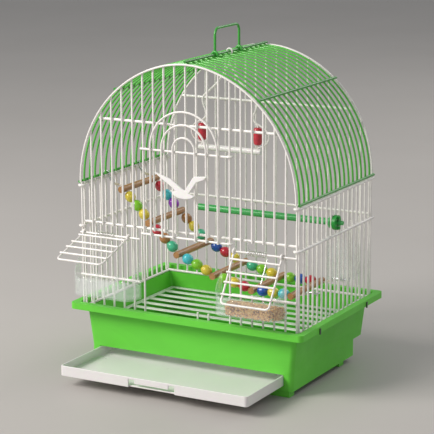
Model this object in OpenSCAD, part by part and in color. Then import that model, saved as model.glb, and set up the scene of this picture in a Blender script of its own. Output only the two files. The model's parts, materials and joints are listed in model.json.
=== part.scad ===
// Arched wire bird cage on a plastic tub, with a droppings drawer, a lift-up door,
// two outside feeders under sprung hoods, a swing, a perch and a hanging bead ladder.

/* [Wire cage] */
// Width of the cage between its corner wires
cage_w = 280; // [230:1:340]
// Depth of the cage between its front and back wires
cage_d = 195; // [160:1:260]
// Height of the walls from the tub's rim up to the eaves
wall_h = 144; // [135:1:190]
// How much smaller the roof's crown radius is than half the width
crown_drop = 20; // [10:1:40]
// How far the roof's flank arcs are centred past the middle
flank_shift = 6.8; // [2:0.1:12]
// Number of gaps between the front wires
front_gaps = 20; // [20:2:24]
// Number of gaps between the side wires
side_gaps = 16; // [14:1:20]
// Diameter of the upright wires and roof wires
wire_d = 2.4; // [1.8:0.1:3]
// Diameter of the cross rails
rail_d = 3.2; // [2.4:0.1:4]
// Diameter of the arched rims at the front and back
rim_d = 2.4; // [1.8:0.1:4]
// Setback of the first side wire from the corner wire
corner_gap = 5; // [4.6:0.1:7]
// Gap left where two wires are welded side by side
weld_gap = 0.03; // [0.02:0.01:0.1]

/* [Rails] */
// Height of the upper rail above the eaves
upper_rail_h = 76.5; // [60:0.5:90]
// Drop of the front and back middle rail below the eaves
middle_rail_drop = 47; // [40:0.5:60]
// Drop of the side middle rail below the eaves
side_rail_drop = 52; // [40:0.5:70]
// Drop of the side top rail below the eaves
side_top_drop = 4; // [3.6:0.1:8]
// Angle of the roof purlins above the eaves
purlin_angle = 48.5; // [30:0.5:65]

/* [Tub] */
// How far the tub's rim reaches past the wires
rim_reach = 12.5; // [10:0.5:20]
// Depth of the rim's outer lip
lip_h = 7.5; // [7:0.5:14]
// Height of the tub's tapered body under the lip
body_h = 44.5; // [36:0.5:60]
// How far the body's side walls stand inside the wires, at the top
side_inset = 2; // [1:0.5:5]
// How far the body's front and back walls stand inside the wires, at the top
front_inset = 1; // [0.5:0.5:4]
// How much each side wall of the body tapers in towards its foot
side_taper = 5; // [0:0.5:8]
// How much the front and back walls of the body taper in towards its foot
front_taper = 2.5; // [0:0.5:6]
// Wall thickness of the tub
tub_wall = 2.5; // [2:0.1:4]
// Radius of the tub's upright corners
tub_corner = 6; // [5:0.5:16]
// Depth of the seat that the wires stand in
seat_depth = 6.5; // [5:0.5:7]
// Height of the drawer bay under the body
bay_h = 20; // [17:0.5:30]
// Depth of the drawer bay, front to back
bay_d = 170; // [150:1:185]
// Height of the feet
foot_h = 7; // [4:0.5:12]
// Length of each foot along the front
foot_w = 28; // [15:1:40]
// Depth of each foot
foot_d = 12; // [8:1:24]
// How far the feet stand in from the bay's sides
foot_in = 4; // [0:0.5:10]

/* [Drawer] */
// Width of the drawer
drawer_w = 243; // [180:1:248]
// Length of the drawer
drawer_l = 160; // [120:1:165]
// Height of the drawer
drawer_h = 12; // [10:0.5:15]
// Wall thickness of the drawer
drawer_wall = 1.8; // [1.2:0.1:3]
// How far the drawer stands out of the tub
drawer_out = 82; // [0:1:130]
// Width of the finger pull in the drawer's front
pull_w = 60; // [40:1:90]
// Clearance all round the drawer
drawer_play = 0.6; // [0.3:0.1:2]

/* [Floor grille] */
// Drop of the grille's top below the rim
grille_drop = 25; // [20:1:32]
// Thickness of the grille
grille_t = 1.5; // [1.5:0.5:6]
// Width of the grille's frame
grille_frame = 6; // [5:0.5:12]
// Width of one slat
slat_w = 7; // [5:0.5:14]
// Number of slats inside the frame
slats = 8; // [6:1:10]
// Clearance between the grille and the tub
grille_play = 1; // [0.5:0.1:2]

/* [Door] */
// Gaps spanned by the door opening
door_gaps = 8; // [6:2:10]
// How far the door can drop
door_travel = 89.5; // [60:0.5:89.5]
// Distance between the door's two cross rails
door_pitch = 99; // [80:0.5:99]
// Diameter of the door's cross rails
door_rail_d = 2.6; // [2:0.1:3.2]
// Running clearance of the door's loops on their guide wires
loop_play = 0.3; // [0.2:0.05:0.6]
// Half widths of the door's nested arches
door_arches = [43.5, 28.8, 14.2];
// Thickness of the swallow ornament
swallow_t = 2.4; // [1.5:0.1:4]

/* [Feeders] */
// Drop of the flap hinge wires below the eaves
hinge_drop = 59.5; // [56:0.5:66]
// Drop of the feeder rails below the eaves
feeder_drop = 110; // [100:0.5:116]
// Width of each flap between its side wires
flap_w = 60; // [50:1:64]
// Length of each flap
flap_l = 62; // [48:1:64]
// Corner radius of each flap
flap_corner = 4.5; // [3:0.5:10]
// Angle between a closed flap and the upright
flap_closed = 32; // [30:1:40]
// Angle between the open flap and the upright
flap_open = 72; // [40:1:110]
// Running clearance of the flap eyes on their hinge wires
eye_play = 0.2; // [0.1:0.05:0.5]
// Width of each feeder cup
cup_w = 83; // [66:1:84]
// How far each cup stands out from the wires
cup_out = 28.5; // [20:0.5:32]
// Height of each cup's front wall
cup_h = 19; // [18:0.5:28]
// Rise of the cup's side cheeks above its front wall
cheek_rise = 25; // [10:0.5:28]
// Wall thickness of the cups
cup_wall = 1.6; // [1.2:0.1:2.4]
// Distance of the seed cup's divider from its inner end
divider_at = 16.5; // [15:0.5:30]
// Radius of the cups' front corners
cup_corner = 14; // [8:0.5:14]
// Gap between a shut flap and the front edge of its cup
cup_gap = 6; // [0.5:0.5:8]
// Depth of seed behind the cup's front wall
seed_depth = 10.5; // [5:0.5:12]

/* [Handle, swing and perch] */
// Height of the carrying handle above the ridge rail
handle_h = 30; // [24:0.5:50]
// Diameter of the handle's wire
handle_d = 3; // [2.4:0.1:4]
// Corner radius of the handle
handle_corner = 8; // [5:0.5:12]
// Side gaps spanned by the handle
handle_gaps = 5; // [4:1:7]
// Length of the swing's perch bar
swing_w = 82; // [70:1:110]
// Drop of the swing's perch bar below the ridge rail
swing_drop = 115.5; // [90:0.5:125]
// Diameter of the swing's perch bar
swing_bar_d = 7; // [6:0.5:12]
// Diameter of the swing's wire
swing_wire_d = 2.8; // [1.8:0.1:3]
// Length of the fixed perch
perch_l = 175; // [100:1:200]
// Diameter of the fixed perch
perch_d = 8; // [6:0.5:12]
// Drop of the fixed perch below the eaves
perch_drop = 37; // [25:0.5:60]
// Diameter of the perch's threaded stud
stud_d = 5; // [4:0.1:7]
// Diameter of the perch's knob
knob_d = 17; // [13:0.5:24]

/* [Bead ladder] */
// Diameter of a bead
bead_d = 12.6; // [9:0.1:14]
// Length of a bead along its string
bead_l = 13; // [10:0.1:13.4]
// Diameter of a ladder rung
rung_d = 8; // [6:0.1:9]
// Length of a ladder rung
rung_l = 84; // [76:1:100]
// Diameter of the ladder's strings
string_d = 1.4; // [1:0.1:1.8]
// Diameter of the holes that the strings run through
string_hole_d = 3; // [2.8:0.1:4]

/* [Hidden] */
$fn = 32;
half_w = cage_w / 2;
front_pitch = cage_w / front_gaps;
side_pitch = (cage_d - 2 * corner_gap) / side_gaps;
middle = front_gaps / 2;
door_left = middle - door_gaps / 2;
door_right = middle + door_gaps / 2;

// Heights above the surface that the cage stands on
bay_z = foot_h;
body_z = bay_z + bay_h;
lip_z = body_z + body_h;
rim_z = lip_z + lip_h;
seat_z = rim_z - seat_depth;
eave_z = rim_z + wall_h;
front_y = -(cage_d + rim_reach - drawer_out) / 2;

// The roof is a crown arc between two flank arcs
crown_r = half_w - crown_drop;
flank_r = half_w + flank_shift;
crown_z = sqrt(pow(flank_shift + crown_drop, 2) - pow(flank_shift, 2));
crown_angle = atan2(crown_z, flank_shift);
ridge_top = crown_z + crown_r;
function arch_z(x) = abs(x) < crown_r * cos(crown_angle)
    ? crown_z + sqrt(pow(crown_r, 2) - x * x)
    : sqrt(max(0, pow(flank_r, 2) - pow(abs(x) + flank_shift, 2)));
function arch_x(z) = z < flank_r * sin(crown_angle)
    ? sqrt(pow(flank_r, 2) - z * z) - flank_shift
    : sqrt(pow(crown_r, 2) - pow(z - crown_z, 2));
function wire_x(i) = round((i - middle) * front_pitch * 100) / 100;
function side_y(k) = corner_gap + k * side_pitch;

// Offsets between wires that are welded side by side
rail_off = (wire_d + rail_d) / 2 + weld_gap;
rim_off = (wire_d + rim_d) / 2 + weld_gap;
hinge_off = wire_d + weld_gap;
door_off = (wire_d + door_rail_d) / 2 + loop_play;
door_bar_off = door_off + (door_rail_d + wire_d) / 2 + weld_gap;
ridge_z = ridge_top + rail_off;
wire_foot = seat_z - eave_z + weld_gap;
bottom_rail_z = wire_foot + rail_d / 2;
inner_rail_end = half_w - wire_d / 2 - 0.3;
door_loop_reach = door_off + door_rail_d / 2;
feeder_start = wire_x(door_right) + door_loop_reach + 0.4;
feeder_end = half_w + wire_d / 2;
door_low_z = -middle_rail_drop - rail_d / 2 - door_rail_d / 2 - 2.4;
door_top_z = door_low_z + door_pitch;

// Tub sizes
rim_w = cage_w + 2 * rim_reach;
rim_dep = cage_d + 2 * rim_reach;
body_w = cage_w - 2 * side_inset;
body_d = cage_d - 2 * front_inset;
seat_edge = wire_d / 2 + 2.8;
inner_corner = max(1, tub_corner - tub_wall);
grille_z = rim_z - grille_drop;
ledge_w = 5;
// How far the body's side walls have come in at the grille
grille_in = side_taper * (seat_z - grille_z + grille_t + 3) / (seat_z - body_z);
bay_w = body_w - 2 * side_taper;
bay_y = front_inset + front_taper;
bay_floor = 3;
drawer_z = body_z - 2 - drawer_h;
slot_w = drawer_w + 2 * drawer_play;

// Feeder places
// The shut flap stays clear of the cup's front edge
cup_top_z = -hinge_drop - (cup_out - hinge_off) / tan(flap_closed)
    - (wire_d / 2 + 0.3) / sin(flap_closed) - cup_gap;
cup_low_z = cup_top_z - cup_h;
cup_back = rail_off + rail_d / 2 + 0.18;
right_cup_x = wire_x(door_right) + 32.5;
left_cup_x = cup_w / 2 - half_w - 1;
cup_back_top_z = -feeder_drop - rail_d / 2 - 1.4;
hook_w = 5;
hook_t = 1.4;
// Each cup hangs by two hooks, in the gaps between the wires
function first_gap(centre) = 0.5 + max(1, ceil((half_w - abs(centre) - cup_w / 2 + hook_w / 2 + 1) / front_pitch - 0.5));
eye_r = 1.35;
eye_ring_r = wire_d / 2 + eye_play + eye_r;
right_flap_x = wire_x(door_right) + front_pitch / 2 + flap_w / 2;
left_flap_x = -half_w + 4 + flap_w / 2;
flap_bars = [0.16, 0.41, 0.6, 0.83];
spring_wire_d = 1.2;
spring_ring_r = 2.7;
spring_turns = 9;
spring_x = 9;
spring_pitch = 2.6;
spring_side = 2;
spring_arm_l = 34;

// Swing, handle and perch places
handle_eye_r = rail_d / 2 + 0.3 + handle_d / 2;
handle_k = 5.5;
swing_k = 8.5;
// The swing's eye is wide enough to rock on the ridge rail
swing_eye_d = 2;
swing_eye_r = rail_d / 2 + 0.7 + swing_eye_d / 2;
swing_leg_x = swing_w / 2 - 4;
perch_k = 7.5;
stud_play = 0.05;
collar_t = 2;
knob_t = 5;
stud_reach = 11.5;

// Bead ladder: rung centres as x and height above the eaves, chosen by eye
rungs = [[-118, -17], [-82, -54], [-43, -88], [5, -108], [56, -119], [107, -119]];
string_k = [4.5, 10.5];
// Where the strings are tied off: side gaps at the left and side wires at the right
left_end_k = [4.5, 10.5];
right_end_k = [4, 10];
left_end = [9 - half_w, -12];
right_end = [half_w - 15, -114];
bead_row = ["YLYRWTSLYLYRBYS", "RSPWYTNRYTLYLBR"];
clasp_d = 1.6;
clasp_ring_r = 4.2;
clasp_body_d = 3.2;
clasp_eye_r = 2;
clasp_eye_d = 1.2;

// Rear drinking cup
drinker_w = 28;
drinker_d = 38;
drinker_h = 42;
drinker_y = side_y(12.2);
drinker_top = -80;

// ---------- helpers ----------

// Places children in the cage's own frame: y from the front wires, z from the eaves
module in_cage() translate([0, front_y, eave_z]) children();

// Straight round rod from one point to another
module rod(a, b, d) {
    v = b - a;
    translate(a) rotate([0, acos(v.z / norm(v)), atan2(v.y, v.x)]) cylinder(d = d, h = norm(v));
}

// Arc of round wire in the XZ plane, in the YZ plane and in the XY plane
module arc_xz(c, r, from, to, d)
    translate(c) rotate([90, 0, 0]) rotate([0, 0, from])
        rotate_extrude(angle = to - from) translate([r, 0]) circle(d = d);
module arc_yz(c, r, from, to, d)
    translate(c) rotate([90, 0, 90]) rotate([0, 0, from])
        rotate_extrude(angle = to - from) translate([r, 0]) circle(d = d);
module arc_xy(c, r, from, to, d)
    translate(c) rotate([0, 0, from])
        rotate_extrude(angle = to - from) translate([r, 0]) circle(d = d);

// Outline of a rectangle with rounded corners, centred on the origin
function round_rect(w, d, r, n = 8) = [for (c = [[1, 1, 0], [-1, 1, 90], [-1, -1, 180], [1, -1, 270]])
    for (i = [0 : n]) let (a = c[2] + 90 * i / n)
        [c[0] * (w / 2 - r) + r * cos(a), c[1] * (d / 2 - r) + r * sin(a)]];
module slab(w, d, r, h) linear_extrude(h) polygon(round_rect(w, d, r));

// Smooth curve through a few points, and a round tube swept along points
function curve(p, n = 4) = [for (i = [0 : len(p) - 2]) let (
        a = p[max(0, i - 1)], b = p[i], c = p[i + 1], d = p[min(len(p) - 1, i + 2)])
    for (j = [0 : n - (i < len(p) - 2 ? 1 : 0)]) let (t = j / n)
        0.5 * (2 * b + (c - a) * t + (2 * a - 5 * b + 4 * c - d) * t * t
            + (3 * b - a - 3 * c + d) * t * t * t)];
module tube(p, d, sides = 8) {
    n = len(p);
    function unit(v) = v / norm(v);
    rings = [for (i = [0 : n - 1]) let (
            along = unit(p[min(n - 1, i + 1)] - p[max(0, i - 1)]),
            u = unit(cross(along, [0, 1, 0])), v = cross(along, u))
        for (j = [0 : sides - 1]) p[i] + d / 2 * (cos(360 * j / sides) * u + sin(360 * j / sides) * v)];
    skin = [for (i = [0 : n - 2]) for (j = [0 : sides - 1]) let (k = (j + 1) % sides)
        [i * sides + j, (i + 1) * sides + j, (i + 1) * sides + k, i * sides + k]];
    polyhedron(rings, concat([[for (j = [0 : sides - 1]) j]], skin,
        [[for (j = [sides - 1 : -1 : 0]) (n - 1) * sides + j]]));
}

// ---------- tub, drawer and floor ----------

module tub_ring(w, d, r, hole_w, hole_d, hole_r, h) difference() {
    slab(w, d, r, h);
    translate([0, 0, -1]) slab(hole_w, hole_d, hole_r, h + 2);
}

module tub_shell() difference() {
    hull() {
        translate([0, 0, body_z]) slab(body_w - 2 * side_taper, body_d - 2 * front_taper, tub_corner, 1);
        translate([0, 0, seat_z - 1]) slab(body_w, body_d, tub_corner, 1);
    }
    hull() {
        translate([0, 0, body_z + tub_wall])
            slab(body_w - 2 * (side_taper + tub_wall), body_d - 2 * (front_taper + tub_wall),
                inner_corner, 1);
        translate([0, 0, seat_z])
            slab(body_w - 2 * tub_wall, body_d - 2 * tub_wall, inner_corner, 1);
    }
    // Droppings fall through here into the drawer
    translate([-drawer_w / 2 + 5, bay_y + 8 - cage_d / 2, body_z - 1])
        cube([drawer_w - 10, bay_d - 20, tub_wall + 2]);
}

module tub_rim() {
    in_w = body_w - 2 * tub_wall;
    in_d = body_d - 2 * tub_wall;
    seat_w = cage_w + 2 * seat_edge;
    seat_d = cage_d + 2 * seat_edge;
    translate([0, 0, seat_z - tub_wall])
        tub_ring(seat_w + 2 * tub_wall, seat_d + 2 * tub_wall, 6, in_w, in_d, inner_corner, tub_wall);
    translate([0, 0, seat_z - tub_wall])
        tub_ring(seat_w + 2 * tub_wall, seat_d + 2 * tub_wall, 6, seat_w, seat_d, 3.5,
            seat_depth + tub_wall);
    translate([0, 0, rim_z - tub_wall]) tub_ring(rim_w, rim_dep, tub_corner, seat_w, seat_d, 3.5, tub_wall);
    translate([0, 0, lip_z])
        tub_ring(rim_w, rim_dep, tub_corner, rim_w - 2 * tub_wall, rim_dep - 2 * tub_wall,
            inner_corner, lip_h);
}

module grille_ledge() translate([0, 0, grille_z - grille_t - 3])
    tub_ring(body_w - 2 * grille_in - 2, body_d - 3, tub_corner,
        body_w - 2 * (grille_in + tub_wall + ledge_w), body_d - 2 * (tub_wall + ledge_w), 8, 3);

module drawer_bay() difference() {
    translate([0, (bay_y + bay_d - cage_d) / 2, bay_z]) slab(bay_w, bay_d - bay_y, tub_corner, bay_h + 0.5);
    // Slot for the drawer, open at the front and under the body's floor opening
    translate([-slot_w / 2, bay_y - cage_d / 2 - 1, drawer_z - drawer_play])
        cube([slot_w, drawer_l + 3, body_z - drawer_z + drawer_play - 1]);
    translate([-drawer_w / 2 + 5, bay_y + 8 - cage_d / 2, drawer_z])
        cube([drawer_w - 10, bay_d - 20, bay_h]);
    // Hollow sides and underside, as moulded
    for (s = [-1, 1]) translate([s * (slot_w + bay_w) / 4 - (bay_w - slot_w) / 4 + tub_wall,
            bay_y - cage_d / 2 + tub_wall, bay_z - 1])
        cube([(bay_w - slot_w) / 2 - 2 * tub_wall, bay_d - bay_y - 2 * tub_wall, bay_h - tub_wall]);
    translate([-slot_w / 2, bay_y - cage_d / 2 + tub_wall, bay_z - 1])
        cube([slot_w, bay_d - bay_y - 2 * tub_wall, drawer_z - drawer_play - bay_floor - bay_z + 1]);
}

// Each foot reaches in far enough to stand under the drawer's slot
module tub_feet() {
    w = max(foot_w, (bay_w - slot_w) / 2 - foot_in + 10);
    for (s = [-1, 1], y = [bay_y, bay_d - foot_d - 24])
        translate([s * (bay_w / 2 - w / 2 - foot_in) - w / 2, y + 1 - cage_d / 2, 0])
            cube([w, foot_d, foot_h + tub_wall]);
}

module tub() color("#6fc956") translate([0, front_y + cage_d / 2, 0]) {
    tub_shell();
    tub_rim();
    grille_ledge();
    drawer_bay();
    tub_feet();
}

module drawer() color("#e6e2e2") translate([0, front_y - drawer_out + drawer_l / 2, drawer_z]) difference() {
    slab(drawer_w, drawer_l, 4, drawer_h);
    translate([0, 0, drawer_wall])
        slab(drawer_w - 2 * drawer_wall, drawer_l - 2 * drawer_wall, 4 - drawer_wall, drawer_h);
    // Finger pull: a low slot with a taller pocket at each end
    translate([-pull_w / 2, -drawer_l / 2 - 1, -1]) cube([pull_w, drawer_wall + 2, drawer_h * 0.4 + 1]);
    for (s = [-1, 1]) translate([s * (pull_w / 2 - 4) - 4, -drawer_l / 2 - 1, -1])
        cube([8, drawer_wall + 2, drawer_h * 0.8 + 1]);
}

module floor_grille() color("#dfeadb") {
    w = body_w - 2 * grille_in - 2 * tub_wall - 2 * grille_play;
    d = body_d - 2 * tub_wall - 2 * grille_play - 2;
    open_d = d - 2 * grille_frame;
    gap = (open_d - slats * slat_w) / (slats + 1);
    translate([0, front_y + cage_d / 2, grille_z - grille_t + 0.05]) linear_extrude(grille_t) difference() {
        polygon(round_rect(w, d, max(0.5, inner_corner - grille_play)));
        for (i = [0 : slats]) translate([-w / 2 + grille_frame, -open_d / 2 + i * (gap + slat_w)])
            square([w - 2 * grille_frame, gap]);
    }
}

module rim_clips() color("#1d3a1c") in_cage() for (s = [-1, 1], y = [33, 159])
    translate([s * (half_w + rim_reach + 0.6 + weld_gap), y * cage_d / 195, -wall_h - 5.5])
        cube([1.2, 2.6, 7], center = true);

// ---------- front and back panels ----------

module upright(i, low, high, y = 0) rod([wire_x(i), y, low], [wire_x(i), y, high], wire_d);

module front_wires() color("#efe7df") in_cage() {
    for (i = [0 : front_gaps]) {
        top = i == 0 || i == front_gaps ? 0 : arch_z(wire_x(i)) - 0.2;
        from_side = min(i, front_gaps - i);
        over_door = i > door_left && i < door_right;
        over_cup = from_side > 1 && from_side < door_left - 1;
        upright(i, over_door || over_cup ? -middle_rail_drop - rail_d / 2 : wire_foot, top);
        if (over_cup) upright(i, wire_foot, -feeder_drop + rail_d / 2);
    }
    // Two short stubs stop the shut door from tipping in
    for (i = [middle + 1, middle + 2]) upright(i, wire_foot, wire_foot + 13);
}

module cross_rail(y, z, reach) rod([-reach, y, z], [reach, y, z], rail_d);
upper_reach = arch_x(upper_rail_h + rail_d / 2) - wire_d / 2 - 0.4;

module panel_rails(y) {
    cross_rail(y, upper_rail_h, upper_reach);
    cross_rail(y, -middle_rail_drop, inner_rail_end);
    cross_rail(y, bottom_rail_z, inner_rail_end);
}

// Three arcs, with a small knuckle where they meet
module roof_arch(y, d) {
    split = 0.02;
    for (s = [-1, 1]) {
        arc_xz([-s * flank_shift, y, 0], flank_r, s > 0 ? 0 : 180 - crown_angle + split,
            s > 0 ? crown_angle - split : 180, d);
        translate([s * crown_r * cos(crown_angle), y, crown_z + crown_r * sin(crown_angle)])
            sphere(d = d + 0.16);
    }
    arc_xz([0, y, crown_z], crown_r, crown_angle, 180 - crown_angle, d);
}

module front_rails() color("#f3ece6") in_cage() panel_rails(rail_off);
module front_rim() color("#f4ecdd") in_cage() roof_arch(-rim_off, rim_d);
module back_wires() color("#e9e2da") in_cage() for (i = [0 : front_gaps])
    upright(i, wire_foot, i == 0 || i == front_gaps ? 0 : arch_z(wire_x(i)) - 0.2, cage_d);
module back_rails() color("#e9e2da") in_cage() panel_rails(cage_d - rail_off);
module back_rim() color("#f4ecdd") in_cage() roof_arch(cage_d + rim_off, rim_d);

// ---------- side panels ----------

module side_wires() for (k = [0 : side_gaps])
    rod([half_w, side_y(k), wire_foot], [half_w, side_y(k), -0.2], wire_d);

// A side rail hooks round the corner wires at both its ends
module hooked_rail(z) {
    rod([half_w + rail_off, 0, z], [half_w + rail_off, cage_d, z], rail_d);
    arc_xy([half_w, 0, z], rail_off, 180, 360, rail_d);
    arc_xy([half_w, cage_d, z], rail_off, 0, 180, rail_d);
}

module side_rails() {
    hooked_rail(-side_top_drop);
    hooked_rail(-side_rail_drop);
    rod([half_w - rail_off, rail_off + rail_d / 2 + 0.3, bottom_rail_z],
        [half_w - rail_off, cage_d - rail_off - rail_d / 2 - 0.3, bottom_rail_z], rail_d);
}

module right_wires() color("#d9cfc8") in_cage() side_wires();
module right_rails() color("#e6ddd8") in_cage() side_rails();
module left_wires() color("#e9e2da") in_cage() mirror([1, 0, 0]) side_wires();
module left_rails() color("#e9e2da") in_cage() mirror([1, 0, 0]) side_rails();

// ---------- roof and handle ----------

module roof_wires() color("#58b24c") in_cage() for (k = [0 : side_gaps]) roof_arch(side_y(k), wire_d);

module roof_rails() color("#3f9a3c") in_cage() {
    far = cage_d + 1;
    for (s = [-1, 1]) {
        rod([s * (half_w + rail_off), -1, 0], [s * (half_w + rail_off), far, 0], rail_d);
        x = s * ((flank_r + rail_off) * cos(purlin_angle) - flank_shift);
        z = (flank_r + rail_off) * sin(purlin_angle);
        rod([x, -1, z], [x, far, z], rail_d);
    }
    rod([0, -1, ridge_z], [0, far, ridge_z], rail_d);
}

// Bail with an eye round the ridge rail at each foot
module carry_handle() color("#4fa848") in_cage() translate([0, 0, ridge_z]) {
    a = side_y(handle_k);
    b = side_y(handle_k + handle_gaps);
    top = handle_h - handle_corner;
    for (y = [a, b]) {
        arc_xz([0, y, 0], handle_eye_r, 0, 360, handle_d + 0.3);
        rod([0, y, handle_eye_r + 0.4], [0, y, top], handle_d);
    }
    arc_yz([0, a + handle_corner, top], handle_corner, 90, 180, handle_d);
    arc_yz([0, b - handle_corner, top], handle_corner, 0, 90, handle_d);
    rod([0, a + handle_corner, handle_h], [0, b - handle_corner, handle_h], handle_d);
}

// ---------- lift-up door ----------

module door_rail(z) {
    reach = wire_x(door_right);
    rod([-reach, -door_off, z], [reach, -door_off, z], door_rail_d);
    arc_xy([reach, 0, z], door_off, -90, 180, door_rail_d);
    arc_xy([-reach, 0, z], door_off, 0, 270, door_rail_d);
}

module door_rails() color("#fbf6f2") in_cage() {
    door_rail(door_low_z);
    door_rail(door_top_z);
}

module door_bars() color("#f4ede8") in_cage() for (r = door_arches) {
    spring_z = door_top_z + 3;
    for (s = [-1, 1])
        rod([s * r, -door_bar_off, door_low_z - wire_d / 2], [s * r, -door_bar_off, spring_z], wire_d);
    arc_xz([0, -door_bar_off, spring_z], r, 0, 180, wire_d);
}

// Swallow in flight, clipped to the door's bars
module door_swallow() color("#fffdfb") in_cage()
    translate([0, -door_bar_off - wire_d / 2 - weld_gap, 0]) rotate([90, 0, 0]) linear_extrude(swallow_t) {
        // One long wing, one bent wing, and a forked tail
        polygon([[-37, 23], [-16, 16.5], [-4, 8.5], [2.5, 4.5], [11, 16.5], [13, 20], [17, 22], [32, 23.5],
            [27, 19], [18, 15.5], [11, 6], [8, 2], [15, -1], [11.5, -3.5], [3, -5], [-6, -4.5],
            [-13, -1], [-13.5, 2], [-8, 3], [-17, 9.5], [-29, 17]]);
    }

// ---------- feeders ----------

module feeder_rails() color("#f3ece6") in_cage() for (s = [-1, 1])
    rod([s * feeder_start, -rail_off, -feeder_drop], [s * feeder_end, -rail_off, -feeder_drop], rail_d);

module hinge_wires() color("#f3ece6") in_cage() for (s = [-1, 1])
    rod([s * feeder_start, -hinge_off, -hinge_drop], [s * feeder_end, -hinge_off, -hinge_drop], wire_d);

// Everything on a flap is drawn hanging straight down from its hinge, then swung out
module on_flap(x, angle) in_cage() translate([x, -hinge_off, -hinge_drop]) rotate([-angle, 0, 0]) children();

module flap_frame() {
    side = flap_w / 2;
    for (s = [-1, 1]) {
        arc_yz([s * side, 0, 0], eye_ring_r, 0, 360, 2 * eye_r);
        rod([s * side, 0, -eye_ring_r - 0.3], [s * side, 0, -flap_l + flap_corner], wire_d);
    }
    arc_xz([side - flap_corner, 0, -flap_l + flap_corner], flap_corner, 270, 360, wire_d);
    arc_xz([-side + flap_corner, 0, -flap_l + flap_corner], flap_corner, 180, 270, wire_d);
    rod([-side + flap_corner, 0, -flap_l], [side - flap_corner, 0, -flap_l], wire_d);
}

module flap_bars_all() for (share = flap_bars)
    rod([-flap_w / 2 - 1.5, -wire_d - weld_gap, -share * flap_l],
        [flap_w / 2 + 1.5, -wire_d - weld_gap, -share * flap_l], wire_d);

module left_flap_frame() color("#f6ecdf") on_flap(left_flap_x, flap_open) flap_frame();
module left_flap_bars() color("#f6ecdf") on_flap(left_flap_x, flap_open) flap_bars_all();
module right_flap_frame() color("#efe3df") on_flap(right_flap_x, flap_closed) flap_frame();
module right_flap_bars() color("#efe3df") on_flap(right_flap_x, flap_closed) flap_bars_all();

// Torsion spring: its coil and fixed arm stay with the cage, its other arm rides the flap
module spring_coil(x) in_cage() {
    start = x - spring_turns * spring_pitch + spring_side + spring_pitch / 2;
    for (i = [0 : spring_turns - 1])
        arc_yz([start + i * spring_pitch, -hinge_off, -hinge_drop], spring_ring_r, 0, 360, spring_wire_d);
    // The fixed arm ends in the middle of a gap between two wires
    arm_x = (floor(start / front_pitch) + 0.5) * front_pitch;
    rod([start, -hinge_off + 0.4, -hinge_drop + spring_ring_r],
        [arm_x, 0.3, -middle_rail_drop + 1], spring_wire_d);
}

module spring_arm() {
    y = (spring_wire_d - wire_d) / 2;
    rod([spring_side + 2.2, y, -spring_ring_r - spring_wire_d - 0.4],
        [spring_side + 2.2, y, -spring_arm_l], spring_wire_d);
}

module left_spring_coil() color("#d8d4cf") spring_coil(left_flap_x + spring_x);
module left_spring_arm() color("#d8d4cf") on_flap(left_flap_x + spring_x, flap_open) spring_arm();
module right_spring_coil() color("#d8d4cf") spring_coil(right_flap_x + spring_x);
module right_spring_arm() color("#d8d4cf") on_flap(right_flap_x + spring_x, flap_closed) spring_arm();

// Clear feeder cup with raised cheeks, hung over the feeder rail by two hooks
module across(w) rotate([90, 0, 90]) linear_extrude(w, center = true) children();

// Upright prism in the shape of a cup's plan, set in by a distance
module cup_plan(in) {
    w = cup_w / 2 - in;
    r = cup_corner - in;
    translate([0, 0, cup_low_z - 1]) linear_extrude(cup_h + cheek_rise + 3) polygon(concat([[w, 6], [-w, 6]],
        [for (s = [-1, 1], i = [0 : 8]) let (a = 90 * (i / 8 + (s < 0 ? 2 : 3)))
            [s * (cup_w / 2 - cup_corner) + r * cos(a), -cup_out + cup_corner + r * sin(a)]]));
}

module cup(centre, side) {
    difference() {
        intersection() {
            across(cup_w) polygon([[-cup_out, cup_low_z], [-cup_out, cup_top_z],
                [-cup_back - 1.4, cup_top_z + cheek_rise], [-cup_back, cup_top_z + cheek_rise],
                [-cup_back, cup_low_z]]);
            cup_plan(0);
        }
        intersection() {
            across(cup_w) polygon([[-cup_out, cup_low_z + cup_wall], [-cup_out, 0], [5, 0],
                [5, cup_back_top_z], [-cup_back - cup_wall, cup_back_top_z],
                [-cup_back - cup_wall, cup_low_z + cup_wall]]);
            cup_plan(cup_wall);
        }
    }
    over = -feeder_drop + rail_d / 2 + 0.1;
    behind = -rail_off + rail_d / 2 + 0.22;
    for (i = [0, 2]) translate([side * (half_w - (first_gap(centre) + i) * front_pitch) - centre, 0, 0])
        across(hook_w) polygon([[-cup_back - cup_wall, cup_back_top_z - 1.5],
            [-cup_back - cup_wall, over + hook_t], [behind + hook_t, over + hook_t],
            [behind + hook_t, over - 4.5], [behind, over - 4.5], [behind, over],
            [-cup_back, over], [-cup_back, cup_back_top_z - 1.5]]);
}

divider_x = right_cup_x - cup_w / 2 + divider_at;
module right_cup() color("#e8f0ee", 0.4) in_cage() {
    translate([right_cup_x, 0, 0]) cup(right_cup_x, 1);
    translate([divider_x, 0, 0]) across(cup_wall) polygon([[-cup_out + cup_wall / 2, cup_low_z + cup_wall / 2],
        [-cup_out + cup_wall / 2, cup_top_z - 6], [-cup_back - cup_wall / 2, cup_back_top_z - 1],
        [-cup_back - cup_wall / 2, cup_low_z + cup_wall / 2]]);
}
module left_cup() color("#e8f0ee", 0.4) in_cage() translate([left_cup_x, 0, 0]) cup(left_cup_x, -1);

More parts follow.
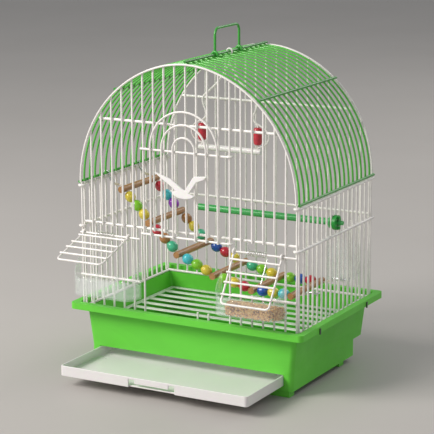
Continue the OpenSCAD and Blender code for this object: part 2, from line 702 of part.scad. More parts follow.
// Seed lies between the divider and the cup's far end, a little deeper in the middle
module seed_fill() {
    from = divider_x + cup_wall / 2 + 0.2 - right_cup_x;
    low = cup_low_z + cup_wall + 0.1;
    top = low + seed_depth;
    color("#c9924f") in_cage() translate([right_cup_x, 0, 0]) intersection() {
        translate([from / 2 + cup_w / 4, 0, 0]) across(cup_w / 2 - from) polygon([
            [-cup_out, low], [-cup_out, top], [-cup_out + 8, top + 3.3],
            [-cup_back - 8, min(top + 2.5, cup_back_top_z - 1)],
            [-cup_back - cup_wall - 0.2, min(top, cup_back_top_z - 1.6)], [-cup_back - cup_wall - 0.2, low]]);
        cup_plan(cup_wall + 0.2);
    }
}

// ---------- swing and perch ----------

// Wavy frame with a curl outside each bead; points are x out from the middle and z above the bar
module swing_frame() color("#efe6e2") in_cage() translate([0, side_y(swing_k), ridge_z - swing_drop]) {
    wave = [[0, 0.83], [5, 0.73], [15, 0.55], [26, 0.42], [34, 0.33], [36.2, 0.265], [34.6, 0.18], [31.2, 0.08]];
    half = concat([for (q = wave) [q.x, 35 + q.y * (swing_drop - 35)]],
        [[32, 36.5], [35.5, 33], [37, 29.5], [37, 18], [37, 1]]);
    curl = [[32, 35], [40, 31], [48, 26], [51.5, 19.5], [49.5, 12], [44, 7.2], [37.6, 5.2]];
    wide = swing_leg_x / 37;
    arc_xz([0, 0, swing_drop], swing_eye_r, 0, 360, swing_eye_d);
    rod([0, 0, swing_drop - swing_eye_r - 0.4], [0, 0, half[0].y - 3], swing_wire_d + 0.5);
    for (s = [-1, 1]) {
        tube(curve([for (q = half) [s * wide * q.x, 0, q.y]], 3), swing_wire_d);
        tube(curve([for (q = curl) [s * wide * q.x, 0, q.y]], 3), swing_wire_d - 0.8);
    }
}

module swing_beads() color("#c4233f") in_cage() translate([0, side_y(swing_k), ridge_z])
    for (s = [-1, 1]) translate([s * swing_leg_x, 0, -swing_drop + 18.4]) difference() {
        rotate_extrude() polygon([[0, -10.3], [3.2, -10.3], [4.5, -9.3], [5.1, -7.5], [5.3, -3], [5.3, 3],
            [5.1, 7.5], [4.5, 9.3], [3.2, 10.3], [0, 10.3]]);
        cylinder(d = swing_wire_d + 0.6, h = 30, center = true);
    }

module swing_perch() color("#f4f0ec") in_cage() translate([0, side_y(swing_k), ridge_z - swing_drop])
    difference() {
        rotate([0, 90, 0]) cylinder(d = swing_bar_d, h = swing_w, center = true);
        for (s = [-1, 1]) translate([s * swing_leg_x, 0, 0]) cylinder(d = swing_wire_d + 0.1, h = 30, center = true);
    }

module perch() color("#4caf63") in_cage() translate([half_w - wire_d / 2 - 0.1, side_y(perch_k), -perch_drop])
    rotate([0, -90, 0]) {
        cylinder(d = perch_d, h = perch_l);
        cylinder(d = perch_d + 7, h = collar_t);
        translate([0, 0, -stud_reach - wire_d]) cylinder(d = stud_d, h = stud_reach + wire_d + 1);
    }

module perch_knob() color("#1f9636") in_cage()
    translate([half_w + wire_d / 2 + 0.1, side_y(perch_k), -perch_drop]) rotate([0, 90, 0]) difference() {
        union() {
            cylinder(d = knob_d, h = knob_t);
            for (a = [0, 180]) rotate([0, 0, a]) translate([knob_d / 4, -1.5, knob_t - 1])
                cube([knob_d / 4 - 0.8, 3, 3.4]);
        }
        translate([0, 0, -1]) cylinder(d = stud_d + 2 * stud_play, h = knob_t + 6);
    }

// ---------- bead ladder ----------

function rung_at(i) = rungs[i];
function span(i) = rungs[i + 1] - rungs[i];
function lean(i) = let (a = span(max(0, i - 1)), b = span(min(len(rungs) - 2, i)), v = a / norm(a) + b / norm(b))
    atan2(v[1], v[0]);
inset = rung_d / 2 + 1;
function string_route(s) = let (y = side_y(string_k[s])) concat(
    [[left_end.x, side_y(left_end_k[s]), left_end.y]],
    [for (i = [0 : len(rungs) - 1]) each [
        [rungs[i].x - inset * cos(lean(i)), y, rungs[i].y - inset * sin(lean(i))],
        [rungs[i].x, y, rungs[i].y],
        [rungs[i].x + inset * cos(lean(i)), y, rungs[i].y + inset * sin(lean(i))]]],
    [[(rungs[5].x + inset + right_end.x) / 2, (y + side_y(right_end_k[s])) / 2, -117],
        [right_end.x, side_y(right_end_k[s]), right_end.y]]);

module front_string() color("#e8dcc8") in_cage() tube(string_route(0), string_d);
module back_string() color("#e8dcc8") in_cage() tube(string_route(1), string_d);

module bead() difference() {
    rotate_extrude() polygon([[0, -bead_l / 2], for (a = [-66 : 12 : 66])
        [bead_d / 2 * cos(a), bead_l / 2 * sin(a) / sin(66)], [0, bead_l / 2]]);
    cylinder(d = string_hole_d, h = bead_l + 2, center = true);
}

// Three beads sit between each pair of rungs, in the colours of bead_row
module beads(letter) in_cage() for (s = [0, 1], i = [0 : len(rungs) - 2], j = [0 : 2])
    if (bead_row[s][3 * i + j] == letter) {
        v = span(i) / norm(span(i));
        p = (rungs[i] + rungs[i + 1]) / 2 + (j - 1) * (bead_l + 0.5) * v;
        translate([p.x, side_y(string_k[s]), p.y]) rotate([0, 90 - atan2(v[1], v[0]), 0]) bead();
    }

module yellow_beads() color("#e0cf45") beads("Y");
module lime_beads() color("#86cf2b") beads("L");
module red_beads() color("#c01f38") beads("R");
module wood_beads() color("#a8733d") beads("W");
module teal_beads() color("#4fc49b") beads("T");
module sky_beads() color("#5fd3dc") beads("S");
module purple_beads() color("#9a2fc2") beads("P");
module blue_beads() color("#1d4fae") {
    beads("B");
    beads("N");
}

module ladder_rungs() color("#b07a46") in_cage() for (i = [0 : len(rungs) - 1]) {
    mid = (side_y(string_k[0]) + side_y(string_k[1])) / 2;
    translate([rungs[i].x, mid, rungs[i].y]) difference() {
        rotate([90, 0, 0]) cylinder(d = rung_d, h = rung_l, center = true);
        for (s = [0, 1]) translate([0, side_y(string_k[s]) - mid, 0]) rotate([0, 90 - lean(i), 0])
            cylinder(d = string_hole_d, h = rung_d * 3, center = true);
    }
}

// Snap hook whose body runs from its ring to a small eye where a string is tied
module snap_hook(from, to) {
    v = (to - from) / norm(to - from);
    eye = to - (clasp_eye_r + clasp_eye_d / 2 + 0.6) * v;
    rod(from, eye - clasp_eye_r * v, clasp_body_d);
    arc_xz(eye, clasp_eye_r, 0, 360, clasp_eye_d);
}

// At the left the hooks hang from the two eave rails, at the right from side wires
module ladder_clasps() color("#b9b9bd") in_cage() for (s = [0, 1]) {
    y = side_y(left_end_k[s]);
    x = -half_w - rail_off;
    r = (side_top_drop + rail_d + clasp_d) / 2 + 0.5;
    arc_xz([x, y, -side_top_drop / 2], r, 0, 360, clasp_d);
    snap_hook([x + r * cos(40), y, -side_top_drop / 2 - r * sin(40)], [left_end.x, y, left_end.y]);
    far = side_y(right_end_k[s]);
    arc_xy([half_w - 1.8, far, right_end.y + 3], clasp_ring_r, 0, 360, clasp_d);
    snap_hook([half_w - 1.8 - clasp_ring_r, far, right_end.y + 3], [right_end.x, far, right_end.y]);
}

// ---------- rear drinker ----------

module drinker() color("#dfe6ea", 0.45) in_cage()
    translate([half_w - 6 - drinker_w, drinker_y, drinker_top - drinker_h]) difference() {
        cube([drinker_w, drinker_d, drinker_h]);
        translate([cup_wall, cup_wall, cup_wall])
            cube([drinker_w - 2 * cup_wall, drinker_d - 2 * cup_wall, drinker_h]);
    }

module drinker_hanger() color("#cfcac6") in_cage() for (k = [12.5, 14.5]) {
    y = side_y(k);
    x = half_w - 6 + clasp_d / 2 + weld_gap;
    rod([x, y, drinker_top - drinker_h + 6], [x, y, -side_rail_drop + 5], clasp_d);
}

tub();
drawer();
floor_grille();
rim_clips();
front_wires();
front_rails();
front_rim();
back_wires();
back_rails();
back_rim();
left_wires();
left_rails();
right_wires();
right_rails();
roof_wires();
roof_rails();
feeder_rails();
hinge_wires();
carry_handle();
door_rails();
door_bars();
door_swallow();
left_flap_frame();
left_flap_bars();
left_spring_coil();
left_spring_arm();
right_flap_frame();
right_flap_bars();
right_spring_coil();
right_spring_arm();
left_cup();
right_cup();
seed_fill();
swing_frame();
swing_beads();
swing_perch();
perch();
perch_knob();
front_string();
back_string();
ladder_rungs();
ladder_clasps();
yellow_beads();
lime_beads();
red_beads();
wood_beads();
teal_beads();
sky_beads();
purple_beads();
blue_beads();
drinker();
drinker_hanger();
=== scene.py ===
"""A wire bird cage on a green tub, in a plain pale studio."""
import json
import math
import random

import bmesh
import bpy
from mathutils import Matrix, Vector

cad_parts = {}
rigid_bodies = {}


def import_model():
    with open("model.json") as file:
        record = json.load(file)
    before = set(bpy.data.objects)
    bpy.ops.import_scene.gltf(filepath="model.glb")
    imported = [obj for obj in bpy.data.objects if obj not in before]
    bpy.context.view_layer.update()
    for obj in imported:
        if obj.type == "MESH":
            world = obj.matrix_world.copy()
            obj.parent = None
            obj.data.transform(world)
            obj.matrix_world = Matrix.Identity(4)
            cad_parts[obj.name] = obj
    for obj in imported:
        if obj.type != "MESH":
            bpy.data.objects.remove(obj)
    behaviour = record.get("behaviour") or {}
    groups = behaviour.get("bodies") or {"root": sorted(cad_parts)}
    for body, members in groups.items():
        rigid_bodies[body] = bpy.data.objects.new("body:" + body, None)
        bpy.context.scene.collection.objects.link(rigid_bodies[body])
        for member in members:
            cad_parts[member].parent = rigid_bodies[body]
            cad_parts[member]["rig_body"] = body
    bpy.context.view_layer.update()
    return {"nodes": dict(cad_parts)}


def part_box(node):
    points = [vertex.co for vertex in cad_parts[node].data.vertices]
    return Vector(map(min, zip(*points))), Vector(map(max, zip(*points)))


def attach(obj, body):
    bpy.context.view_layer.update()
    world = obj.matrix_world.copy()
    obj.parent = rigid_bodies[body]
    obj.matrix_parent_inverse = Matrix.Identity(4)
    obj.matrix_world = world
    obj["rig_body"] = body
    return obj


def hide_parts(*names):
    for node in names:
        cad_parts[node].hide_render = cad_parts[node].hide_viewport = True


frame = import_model()
nodes = frame["nodes"]
MM = 0.001
WIRE_D = 2.4 * MM
WIRE_R = 1.2 * MM


def mid(node):
    lo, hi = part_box(node)
    return (lo + hi) / 2


# ------------------------------------------------------------------ camera

def make_camera():
    az, el, roll = math.radians(29.08), math.radians(12.77), math.radians(-0.28)
    back = Vector((math.sin(az) * math.cos(el), -math.cos(az) * math.cos(el), math.sin(el)))
    right = (-back).cross(Vector((0, 0, 1))).normalized()
    up = right.cross(-back)
    r = math.cos(roll) * right + math.sin(roll) * up
    u = -math.sin(roll) * right + math.cos(roll) * up
    data = bpy.data.cameras.new("camera")
    data.sensor_width = 36
    data.lens = 150.5
    data.clip_start, data.clip_end = 0.05, 60
    cam = bpy.data.objects.new("camera", data)
    bpy.context.scene.collection.objects.link(cam)
    turn = Matrix((r, u, back)).transposed().to_4x4()
    cam.matrix_world = Matrix.Translation((1.0027, -1.7944, 0.6488)) @ turn
    bpy.context.scene.camera = cam


make_camera()


# --------------------------------------------------------------- materials

class Nodes:
    """A small helper for writing one procedural material."""

    def __init__(self, name, colour, rough, **extra):
        self.mat = bpy.data.materials.new(name)
        self.mat.use_nodes = True
        self.tree = self.mat.node_tree
        self.shader = self.tree.nodes["Principled BSDF"]
        self.base = (*colour, 1)
        self.set("Base Color", self.base)
        self.set("Roughness", rough)
        for key, value in extra.items():
            self.set(key.replace("_", " "), value)
        self.where = self.add("ShaderNodeTexCoord").outputs["Object"]

    def set(self, socket, value):
        self.shader.inputs[socket].default_value = value

    def add(self, kind, **inputs):
        n = self.tree.nodes.new(kind)
        for key, value in inputs.items():
            if key.startswith("p_"):
                setattr(n, key[2:], value)
            else:
                n.inputs[key.replace("_", " ")].default_value = value
        return n

    def link(self, a, b):
        self.tree.links.new(a, b)

    def stretch(self, scale):
        m = self.add("ShaderNodeMapping", Scale=scale)
        self.link(self.where, m.inputs["Vector"])
        return m.outputs["Vector"]

    def noise(self, scale, detail=3, rough=0.5, where=None, distortion=0.0):
        n = self.add("ShaderNodeTexNoise", Scale=scale, Detail=detail, Roughness=rough,
                     Distortion=distortion)
        self.link(where or self.where, n.inputs["Vector"])
        return n.outputs["Fac"]

    def ramp(self, fac, stops):
        n = self.add("ShaderNodeValToRGB")
        e = n.color_ramp.elements
        while len(e) < len(stops):
            e.new(0.5)
        for el, (pos, col) in zip(e, stops):
            el.position = pos
            el.color = (*col, 1) if len(col) == 3 else col
        self.link(fac, n.inputs["Fac"])
        return n.outputs["Color"]

    def span(self, fac, low, high, from_low=0.3, from_high=0.7):
        n = self.add("ShaderNodeMapRange")
        for key, value in (("From Min", from_low), ("From Max", from_high),
                           ("To Min", low), ("To Max", high)):
            n.inputs[key].default_value = value
        self.link(fac, n.inputs["Value"])
        return n.outputs["Result"]

    def blend(self, fac, a, b):
        n = self.add("ShaderNodeMix", p_data_type="RGBA", p_blend_type="MIX")
        for socket, value in ((n.inputs[0], fac), (n.inputs[6], a), (n.inputs[7], b)):
            if isinstance(value, bpy.types.NodeSocket):
                self.link(value, socket)
            else:
                socket.default_value = value
        return n.outputs[2]

    def colour(self, out):
        self.link(out, self.shader.inputs["Base Color"])

    def rough(self, out):
        self.link(out, self.shader.inputs["Roughness"])

    def bump(self, height, depth, strength=1.0):
        n = self.add("ShaderNodeBump", Strength=strength, Distance=depth)
        self.link(height, n.inputs["Height"])
        if self.shader.inputs["Normal"].is_linked:
            self.link(self.shader.inputs["Normal"].links[0].from_socket, n.inputs["Normal"])
        self.link(n.outputs["Normal"], self.shader.inputs["Normal"])


def shade(colour, k):
    return tuple(min(1.0, c * k) for c in colour)


def powder_coat(name, colour, rough=0.3):
    """Glossy coat over wire: orange peel, thicker and thinner patches, a little dust."""
    m = Nodes(name, colour, rough, Coat_Weight=0.35, Coat_Roughness=0.12)
    patch = m.noise(55, 4)
    m.colour(m.ramp(patch, [(0.3, shade(colour, 0.9)), (0.55, colour), (0.75, shade(colour, 1.06))]))
    m.rough(m.span(m.noise(120, 3), rough - 0.06, rough + 0.12))
    m.bump(m.noise(700, 2), 0.00006, 0.35)
    m.bump(m.noise(160, 2), 0.00012, 0.3)
    return m.mat


def moulded(name, colour, rough=0.32, glow=0.0, grain=0.25, flow=0.06, shine=0.5):
    """Injection-moulded plastic: faint flow marks, fine texture, uneven gloss."""
    m = Nodes(name, colour, rough, Subsurface_Weight=glow, Subsurface_Scale=0.004,
              Coat_Weight=0.3 * shine, Coat_Roughness=0.2, Specular_IOR_Level=shine)
    m.set("Subsurface Radius", (0.6, 1.0, 0.5))
    swirl = m.noise(9, 4, 0.55, m.stretch((1, 1, 3)), 1.2)
    m.colour(m.ramp(swirl, [(0.3, shade(colour, 1 - flow)), (0.5, colour), (0.72, shade(colour, 1 + flow))]))
    m.rough(m.span(m.noise(26, 5, 0.6), rough - 0.07, rough + 0.13))
    m.bump(m.noise(1500, 2), 0.00003, grain)
    m.bump(m.noise(14, 2), 0.0006, 0.2)
    return m.mat


def clear(name, tint):
    """Thin clear plastic: mostly see-through, so that what is inside stays lit."""
    m = Nodes(name, tint, 0.08, Transmission_Weight=0.35, IOR=1.35, Coat_Weight=1.0,
              Coat_Roughness=0.04, Alpha=0.2)
    m.rough(m.span(m.noise(70, 5, 0.7), 0.04, 0.2))
    m.bump(m.noise(60, 3), 0.0002, 0.25)
    return m.mat


def stained(name, colour):
    """Turned bead: colour stain over faint wood rings, under a thick gloss lacquer."""
    m = Nodes(name, colour, 0.28, Coat_Weight=0.8, Coat_Roughness=0.06)
    grain = m.noise(260, 3, 0.6, m.stretch((0.25, 1, 1)), 0.6)
    m.colour(m.ramp(grain, [(0.32, shade(colour, 0.78)), (0.5, colour), (0.7, shade(colour, 1.12))]))
    m.rough(m.span(m.noise(150, 3), 0.2, 0.42))
    m.bump(grain, 0.00008, 0.3)
    return m.mat


def turned_wood(name, light, dark):
    """Varnished dowel: long grain with short dark flecks."""
    m = Nodes(name, light, 0.42, Coat_Weight=0.45, Coat_Roughness=0.16)
    grain = m.noise(170, 5, 0.65, m.stretch((1, 0.06, 1)), 1.5)
    fleck = m.noise(900, 2, 0.5, m.stretch((1, 0.05, 1)))
    body = m.ramp(grain, [(0.28, dark), (0.47, light), (0.62, shade(light, 1.18)), (0.8, dark)])
    m.colour(m.blend(m.span(fleck, 0.0, 0.35, 0.55, 0.75), body, (*shade(dark, 0.6), 1)))
    m.rough(m.span(grain, 0.34, 0.58))
    m.bump(grain, 0.00015, 0.4)
    m.bump(fleck, 0.00005, 0.4)
    return m.mat


def drawn_steel(name, tone, rough):
    """Bright metal with fine lines along its length."""
    m = Nodes(name, tone, rough, Metallic=1.0)
    line = m.noise(2200, 2, 0.5, m.stretch((1, 1, 0.08)))
    m.rough(m.span(line, rough - 0.08, rough + 0.15))
    m.colour(m.ramp(m.noise(90, 4), [(0.3, shade(tone, 0.8)), (0.7, shade(tone, 1.1))]))
    m.bump(line, 0.00003, 0.5)
    return m.mat


def cotton(name, colour):
    """Matt twisted yarn with a faint fuzz."""
    m = Nodes(name, colour, 0.85, Sheen_Weight=0.4, Sheen_Roughness=0.5)
    fuzz = m.noise(3000, 3)
    m.colour(m.ramp(fuzz, [(0.3, shade(colour, 0.7)), (0.65, shade(colour, 1.08))]))
    m.bump(fuzz, 0.0001, 0.6)
    return m.mat


def millet(name):
    """Husked grain: each seed takes its own tone from dark brown to straw."""
    m = Nodes(name, (0.72, 0.46, 0.16), 0.45, Coat_Weight=0.3, Coat_Roughness=0.2)
    each = m.noise(380, 1, 0.4)
    m.colour(m.ramp(each, [(0.3, (0.26, 0.08, 0.015)), (0.44, (0.60, 0.29, 0.05)),
                           (0.57, (0.80, 0.46, 0.11)), (0.7, (0.88, 0.64, 0.26))]))
    m.rough(m.span(m.noise(900, 2), 0.38, 0.62))
    m.bump(m.noise(1600, 2), 0.00008, 0.4)
    return m.mat


# Colours are linear RGB
white_wire = powder_coat("white_wire", (0.90, 0.865, 0.835), 0.26)
green_wire = powder_coat("green_wire", (0.10, 0.50, 0.06), 0.22)
deep_wire = powder_coat("deep_green_wire", (0.045, 0.33, 0.04))
handle_wire = powder_coat("handle_wire", (0.06, 0.40, 0.055))
dark_wire = powder_coat("dark_wire", (0.02, 0.05, 0.02), 0.4)
tub_plastic = moulded("green_plastic", (0.14, 0.63, 0.055), 0.4, glow=0.06, shine=0.3)
pale_plastic = moulded("pale_plastic", (0.80, 0.775, 0.77), 0.34, glow=0.1, flow=0.025)
grille_plastic = moulded("mint_plastic", (0.76, 0.86, 0.72), 0.34, glow=0.15, flow=0.03)
swallow_plastic = moulded("white_plastic", (0.90, 0.885, 0.87), 0.28, glow=0.15, flow=0.02)
perch_plastic = moulded("perch_green", (0.055, 0.42, 0.10), 0.36, glow=0.08)
knob_plastic = moulded("knob_green", (0.015, 0.34, 0.04), 0.3, glow=0.05)
bar_plastic = moulded("white_bar", (0.88, 0.86, 0.84), 0.3, glow=0.1, flow=0.02)
red_gloss = stained("red_bead", (0.60, 0.012, 0.035))
clear_plastic = clear("clear_plastic", (0.90, 0.95, 0.94))
spring_steel = drawn_steel("spring_wire", (0.86, 0.85, 0.83), 0.24)
clasp_steel = drawn_steel("clasp_steel", (0.78, 0.78, 0.80), 0.16)
string_cotton = cotton("string", (0.74, 0.66, 0.52))
rung_wood = turned_wood("rung_wood", (0.46, 0.22, 0.075), (0.24, 0.095, 0.03))
seed_mix = millet("seed")
# Near-black brown for the heap under the loose grain: painted shade standing in for the shadowed gaps
# between seeds
seed_dust = moulded("seed_dust", (0.12, 0.045, 0.012), 0.8, flow=0.3)
bead_paint = {
    "yellow_beads": stained("bead_yellow", (0.80, 0.64, 0.05)),
    "lime_beads": stained("bead_lime", (0.25, 0.66, 0.02)),
    "red_beads": stained("bead_red", (0.60, 0.012, 0.04)),
    "wood_beads": stained("bead_plain", (0.44, 0.19, 0.05)),
    "teal_beads": stained("bead_teal", (0.06, 0.55, 0.30)),
    "sky_beads": stained("bead_sky", (0.07, 0.62, 0.72)),
    "purple_beads": stained("bead_purple", (0.33, 0.02, 0.58)),
    "blue_beads": stained("bead_blue", (0.008, 0.09, 0.48)),
}


def paint(obj, mat):
    obj.data.materials.clear()
    obj.data.materials.append(mat)


def body_of(node):
    return nodes[node]["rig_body"]


# ------------------------------------------------------------------ cords

def spline(points, per):
    """Points along a smooth curve through the given ones, per of them to a span."""
    p = [Vector(q) for q in points]
    out = []
    for i in range(len(p) - 1):
        a, b, c, d = p[max(0, i - 1)], p[i], p[i + 1], p[min(len(p) - 1, i + 2)]
        for j in range(per + (i == len(p) - 2)):
            t = j / per
            out.append(0.5 * (2 * b + (c - a) * t + (2 * a - 5 * b + 4 * c - d) * t * t
                              + (3 * b - a - 3 * c + d) * t ** 3))
    return out


def even(points, step):
    """The same line, resampled at an even step."""
    out, left = [points[0]], step
    for a, b in zip(points, points[1:]):
        seg = (b - a).length
        at = left
        while at <= seg:
            out.append(a.lerp(b, at / seg))
            at += step
        left = at - seg
    if (out[-1] - points[-1]).length > step * 0.3:
        out.append(points[-1])
    return out


def new_object(name, verts, faces, smooth=True):
    mesh = bpy.data.meshes.new(name)
    mesh.from_pydata([tuple(v) for v in verts], [], faces)
    mesh.validate()
    for p in mesh.polygons:
        p.use_smooth = smooth
    obj = bpy.data.objects.new(name, mesh)
    bpy.context.scene.collection.objects.link(obj)
    return obj


def sweep(points, radius, sides, swell=None):
    """Closed round tube along points; swell(distance, angle) scales its radius."""
    verts, faces = [], []
    s = 0.0
    side = None
    for i, p in enumerate(points):
        along = (points[min(i + 1, len(points) - 1)] - points[max(i - 1, 0)]).normalized()
        if side is None:
            side = along.cross(Vector((0, 1, 0)))
            if side.length < 0.1:
                side = along.cross(Vector((1, 0, 0)))
        side = (side - along * side.dot(along)).normalized()
        other = along.cross(side)
        if i:
            s += (p - points[i - 1]).length
        for j in range(sides):
            a = 2 * math.pi * j / sides
            r = radius * (swell(s, a) if swell else 1)
            verts.append(p + r * (math.cos(a) * side + math.sin(a) * other))
    for i in range(len(points) - 1):
        for j in range(sides):
            k = (j + 1) % sides
            faces.append((i * sides + j, i * sides + k, (i + 1) * sides + k, (i + 1) * sides + j))
    faces.append(tuple(range(sides))[::-1])
    faces.append(tuple((len(points) - 1) * sides + j for j in range(sides)))
    return verts, faces


# Heights are measured from the eave, and places along the depth in gaps of the side wires
EAVE_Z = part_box("right_wires")[1].z + 0.2 * MM
SIDE_GAPS = 16
SIDE_PITCH = (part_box("right_wires")[1].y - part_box("right_wires")[0].y - WIRE_D) / SIDE_GAPS
FIRST_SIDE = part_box("right_wires")[0].y + WIRE_R
# The ladder hangs on two strings, which run through its beads and rungs: x and z in mm
RUNGS = [(-118, -17), (-82, -54), (-43, -88), (5, -108), (56, -119), (107, -119)]
LEFT_END, RIGHT_END = (-131, -12), (125, -114)
RUNG_HALF = 5
LAST_BEND_Z = -117
STRING_R = 0.7 * MM
STRAND_TURN = 3.2 * MM
# Node, then the gap it starts at on the left and the one it ends at on the right
STRINGS = (("front_string", 4.5, 4), ("back_string", 10.5, 10))


def side_y(k):
    return FIRST_SIDE + k * SIDE_PITCH


def cage_point(x, y, z):
    return Vector((x * MM, y, EAVE_Z + z * MM))


def string_route(y, end_y):
    route = [cage_point(LEFT_END[0], y, LEFT_END[1])]
    for i, (x, z) in enumerate(RUNGS):
        before = Vector(RUNGS[max(0, i - 1)])
        here = Vector((x, z))
        after = Vector(RUNGS[min(len(RUNGS) - 1, i + 1)])
        if i == 0:
            lean = (after - here).normalized()
        elif i == len(RUNGS) - 1:
            lean = (here - before).normalized()
        else:
            lean = ((here - before).normalized() + (after - here).normalized()).normalized()
        for t in (-RUNG_HALF, 0, RUNG_HALF):
            q = here + lean * t
            route.append(cage_point(q.x, y, q.y))
    route.append(cage_point((RUNGS[-1][0] + RUNG_HALF + RIGHT_END[0]) / 2, (y + end_y) / 2, LAST_BEND_Z))
    route.append(cage_point(RIGHT_END[0], end_y, RIGHT_END[1]))
    return route


def string_line(k, end_k, step):
    return even(spline(string_route(side_y(k), side_y(end_k)), 8), step)


def strands(s, a):
    """Three lobes that wind once in each STRAND_TURN."""
    return 0.93 + 0.07 * math.cos(3 * (a - 2 * math.pi * s / STRAND_TURN))


def make_string(node, k, end_k):
    points = string_line(k, end_k, 0.6 * MM)
    verts, faces = sweep(points, STRING_R, 12, strands)
    obj = new_object(node + "_twist", verts, faces)
    paint(obj, string_cotton)
    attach(obj, "cage")
    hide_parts(node)


for string in STRINGS:
    make_string(*string)


# ------------------------------------------------------- parts from the CAD

BEVEL_FROM = 40
SHARP_FROM = 38
SAME_POINT = 0.00001


def smooth_shading(obj, degrees):
    obj.data.polygons.foreach_set("use_smooth", [True] * len(obj.data.polygons))
    obj.data.set_sharp_from_angle(angle=math.radians(degrees))


def softened(node, width, mat):
    """The same shape with its hard edges rounded off, as a moulding has them."""
    src = nodes[node]
    mesh = src.data.copy()
    obj = bpy.data.objects.new(node + "_soft", mesh)
    bpy.context.scene.collection.objects.link(obj)
    bm = bmesh.new()
    bm.from_mesh(mesh)
    bmesh.ops.remove_doubles(bm, verts=bm.verts, dist=SAME_POINT)
    bmesh.ops.dissolve_limit(bm, angle_limit=math.radians(1.0), verts=bm.verts, edges=bm.edges)
    bm.to_mesh(mesh)
    bm.free()
    paint(obj, mat)
    bev = obj.modifiers.new("edge", "BEVEL")
    bev.limit_method = "ANGLE"
    bev.angle_limit = math.radians(BEVEL_FROM)
    bev.width = width
    bev.segments = 3
    bev.use_clamp_overlap = True
    smooth_shading(obj, 180)
    flat_faces = obj.modifiers.new("normals", "WEIGHTED_NORMAL")
    flat_faces.weight = 100
    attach(obj, body_of(node))
    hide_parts(node)
    return obj


def keep(names, mat):
    """CAD nodes whose shape is right, with a better finish."""
    for n in names:
        paint(nodes[n], mat)
        smooth_shading(nodes[n], SHARP_FROM)


keep(["front_wires", "front_rails", "front_rim", "back_wires", "back_rails", "back_rim", "left_wires",
      "left_rails", "right_wires", "right_rails", "feeder_rails", "hinge_wires", "door_rails", "door_bars",
      "left_flap_frame", "left_flap_bars", "right_flap_frame", "right_flap_bars", "swing_frame",
      "drinker_hanger"], white_wire)
keep(["roof_wires"], green_wire)
keep(["roof_rails"], deep_wire)
keep(["carry_handle"], handle_wire)
keep(["left_spring_coil", "left_spring_arm", "right_spring_coil", "right_spring_arm"], spring_steel)
keep(["ladder_clasps"], clasp_steel)
keep(["swing_beads"], red_gloss)
for name, mat in bead_paint.items():
    keep([name], mat)

for name, radius, mat in (
    ("tub", 0.7, tub_plastic),
    ("drawer", 0.5, pale_plastic),
    ("floor_grille", 0.9, grille_plastic),
    ("left_cup", 0.35, clear_plastic),
    ("right_cup", 0.35, clear_plastic),
    ("drinker", 0.35, clear_plastic),
    ("door_swallow", 0.5, swallow_plastic),
    ("perch", 0.6, perch_plastic),
    ("perch_knob", 0.6, knob_plastic),
    ("swing_perch", 1.0, bar_plastic),
    ("ladder_rungs", 0.8, rung_wood),
    ("rim_clips", 0.2, dark_wire),
):
    softened(name, radius * MM, mat)


# ------------------------------------------------------------------- seed

GRAINS = 2600
HEAP_INSET = 1.9 * MM


def grain_shape(long, wide):
    """Pointed seed of three rings and two tips."""
    verts = [Vector((0, 0, -long))]
    for z, r in ((-0.55, 0.72), (0.0, 1.0), (0.6, 0.62)):
        for j in range(6):
            a = math.pi * j / 3
            verts.append(Vector((r * wide * math.cos(a), r * wide * math.sin(a) * 0.8, z * long)))
    verts.append(Vector((0, 0, long)))
    faces = [(0, 1 + (j + 1) % 6, 1 + j) for j in range(6)]
    for ring in (0, 1):
        for j in range(6):
            a, b = 1 + ring * 6 + j, 1 + ring * 6 + (j + 1) % 6
            faces.append((a, b, b + 6, a + 6))
    faces += [(13 + j, 13 + (j + 1) % 6, 19) for j in range(6)]
    return verts, faces


def make_seed():
    """Loose grain over a shrunken heap, sunk at the sides so that it stays clear of the cup."""
    rnd = random.Random(7)
    src = nodes["seed_fill"]
    # The heap shows between the grains as their painted shade
    heap = softened("seed_fill", 0.8 * MM, seed_dust)
    lo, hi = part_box("seed_fill")
    for v in heap.data.vertices:
        for i in range(3):
            middle, half = (lo[i] + hi[i]) / 2, (hi[i] - lo[i]) / 2
            v.co[i] = middle + (v.co[i] - middle) * (1 - HEAP_INSET / half)
    src.data.calc_loop_triangles()
    tris, areas = [], []
    for t in src.data.loop_triangles:
        if t.normal.z > -0.5:
            tris.append(t)
            areas.append(t.area)
    shape, quads = grain_shape(1.15 * MM, 0.98 * MM)
    verts, faces = [], []
    for _ in range(GRAINS):
        t = rnd.choices(tris, areas)[0]
        a, b, c = (src.data.vertices[i].co for i in t.vertices)
        u, w = rnd.random(), rnd.random()
        if u + w > 1:
            u, w = 1 - u, 1 - w
        n = t.normal
        top = n.z > 0.3
        p = a + (b - a) * u + (c - a) * w - n * (rnd.uniform(-0.9, 0.5) * MM if top else 1.1 * MM)
        spin = Matrix.Rotation(rnd.uniform(0, 6.28), 3, "Z")
        tilt = Matrix.Rotation(rnd.uniform(1.1, 1.9) if top else rnd.uniform(-0.25, 0.25) + 1.57, 3, "X")
        face = n.to_track_quat("Z", "Y").to_matrix()
        k = rnd.uniform(0.8, 1.15)
        start = len(verts)
        verts += [p + face @ (spin @ (tilt @ (v * k))) for v in shape]
        faces += [tuple(start + i for i in f) for f in quads]
    obj = new_object("seed_grain", verts, faces)
    paint(obj, seed_mix)
    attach(obj, "cage")


make_seed()


# ------------------------------------------------------------ small details

def ball():
    """Unit sphere as points and faces."""
    bm = bmesh.new()
    bmesh.ops.create_icosphere(bm, subdivisions=2, radius=1)
    bm.verts.ensure_lookup_table()
    out = [v.co.copy() for v in bm.verts], [tuple(v.index for v in f.verts) for f in bm.faces]
    bm.free()
    return out


def lumps(name, spots, mat):
    """Small ellipsoids, each a centre and its three radii."""
    points, skin = ball()
    verts, faces = [], []
    for at, size in spots:
        start = len(verts)
        verts += [at + Vector((v.x * size[0], v.y * size[1], v.z * size[2])) for v in points]
        faces += [tuple(start + i for i in f) for f in skin]
    obj = new_object(name, verts, faces)
    paint(obj, mat)
    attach(obj, "cage")


BACK_GAPS = 20


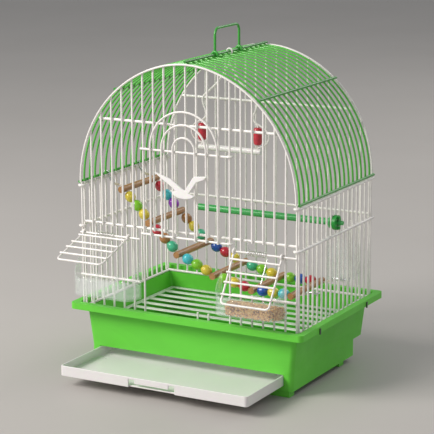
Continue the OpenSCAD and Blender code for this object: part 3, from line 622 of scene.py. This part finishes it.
def make_welds():
    """A small nugget wherever a rail is welded to the wires it crosses."""
    lo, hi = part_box("back_wires")
    step = (hi.x - lo.x - WIRE_D) / BACK_GAPS
    rail_z = [EAVE_Z + z * MM for z in (76.5, -47)] + [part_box("front_rails")[0].z + 1.6 * MM]
    spots = []
    for wires, side in (("front_wires", 1), ("back_wires", -1)):
        y = mid(wires).y + side * 1.25 * MM
        for z in rail_z:
            for i in range(1, BACK_GAPS):
                x = lo.x + WIRE_R + i * step
                past_arch = z > EAVE_Z and abs(x) > 101 * MM
                at_door = wires == "front_wires" and z == rail_z[2] and 6 < i < 14
                if past_arch or at_door:
                    continue
                spots.append((Vector((x, y, z)), (1.5 * MM, 0.8 * MM, 1.8 * MM)))
    for wires, side in (("left_wires", -1), ("right_wires", 1)):
        x = mid(wires).x + side * 1.25 * MM
        for z in (EAVE_Z - 4 * MM, EAVE_Z - 52 * MM):
            for k in range(SIDE_GAPS + 1):
                spots.append((Vector((x, side_y(k), z)), (0.8 * MM, 1.5 * MM, 1.8 * MM)))
    lumps("white_welds", spots, white_wire)
    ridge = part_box("roof_wires")[1].z
    green = [(Vector((0, side_y(k), ridge + 0.05 * MM)), (1.8 * MM, 1.5 * MM, 0.8 * MM))
             for k in range(SIDE_GAPS + 1)]
    lumps("green_welds", green, green_wire)


KNOT_STEP = 0.25 * MM


def make_knots():
    """Each string ends in a hitch of a few turns at its snap hook."""
    for node, k, end_k in STRINGS:
        route = string_line(k, end_k, KNOT_STEP)
        for label, part in (("a", route[2:20]), ("b", route[-20:-2])):
            turns = []
            for i, p in enumerate(part):
                along = (part[min(i + 1, len(part) - 1)] - part[max(i - 1, 0)]).normalized()
                u = along.cross(Vector((0, 1, 0))).normalized()
                v = along.cross(u)
                for j in range(4):
                    a = 2 * math.pi * (i * 4 + j) / 16
                    ring = (math.cos(a) * u + math.sin(a) * v) * 1.15 * MM
                    turns.append(p + along * (0.0625 * j * MM) + ring)
            verts, faces = sweep(turns, 0.5 * MM, 8)
            obj = new_object(f"{node}_knot_{label}", verts, faces)
            paint(obj, string_cotton)
            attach(obj, "cage")


make_welds()
make_knots()


# ------------------------------------------------------------------ studio

def floor_and_light():
    corners = [(-20, -20, 0), (20, -20, 0), (20, 20, 0), (-20, 20, 0)]
    floor = new_object("floor", corners, [(0, 1, 2, 3)], False)
    m = Nodes("floor", (0.50, 0.475, 0.45), 0.55)
    m.colour(m.ramp(m.noise(3, 3), [(0.3, (0.49, 0.465, 0.44)), (0.7, (0.51, 0.485, 0.46))]))
    paint(floor, m.mat)
    world = bpy.data.worlds.new("studio")
    world.use_nodes = True
    bg = world.node_tree.nodes["Background"]
    bg.inputs["Color"].default_value = (0.95, 0.97, 1.0, 1)
    bg.inputs["Strength"].default_value = 0.34
    bpy.context.scene.world = world
    aim = Vector((0, 0, 0.2))
    for name, at, size, power, colour in (
        ("key", (-1.55, -1.7, 1.75), 1.3, 80, (1.0, 0.97, 0.93)),
        ("fill", (2.0, -1.4, 1.1), 1.8, 2.5, (0.94, 0.97, 1.0)),
        ("rear", (0.8, 2.0, 1.7), 1.4, 18, (1.0, 0.98, 0.95)),
    ):
        light = bpy.data.lights.new(name, "AREA")
        light.shape = "SQUARE"
        light.size = size
        light.energy = power
        light.color = colour
        obj = bpy.data.objects.new(name, light)
        bpy.context.scene.collection.objects.link(obj)
        obj.location = at
        obj.rotation_mode = "QUATERNION"
        obj.rotation_quaternion = (Vector(at) - aim).to_track_quat("Z", "Y")


floor_and_light()
bpy.context.scene.view_settings.view_transform = "Standard"
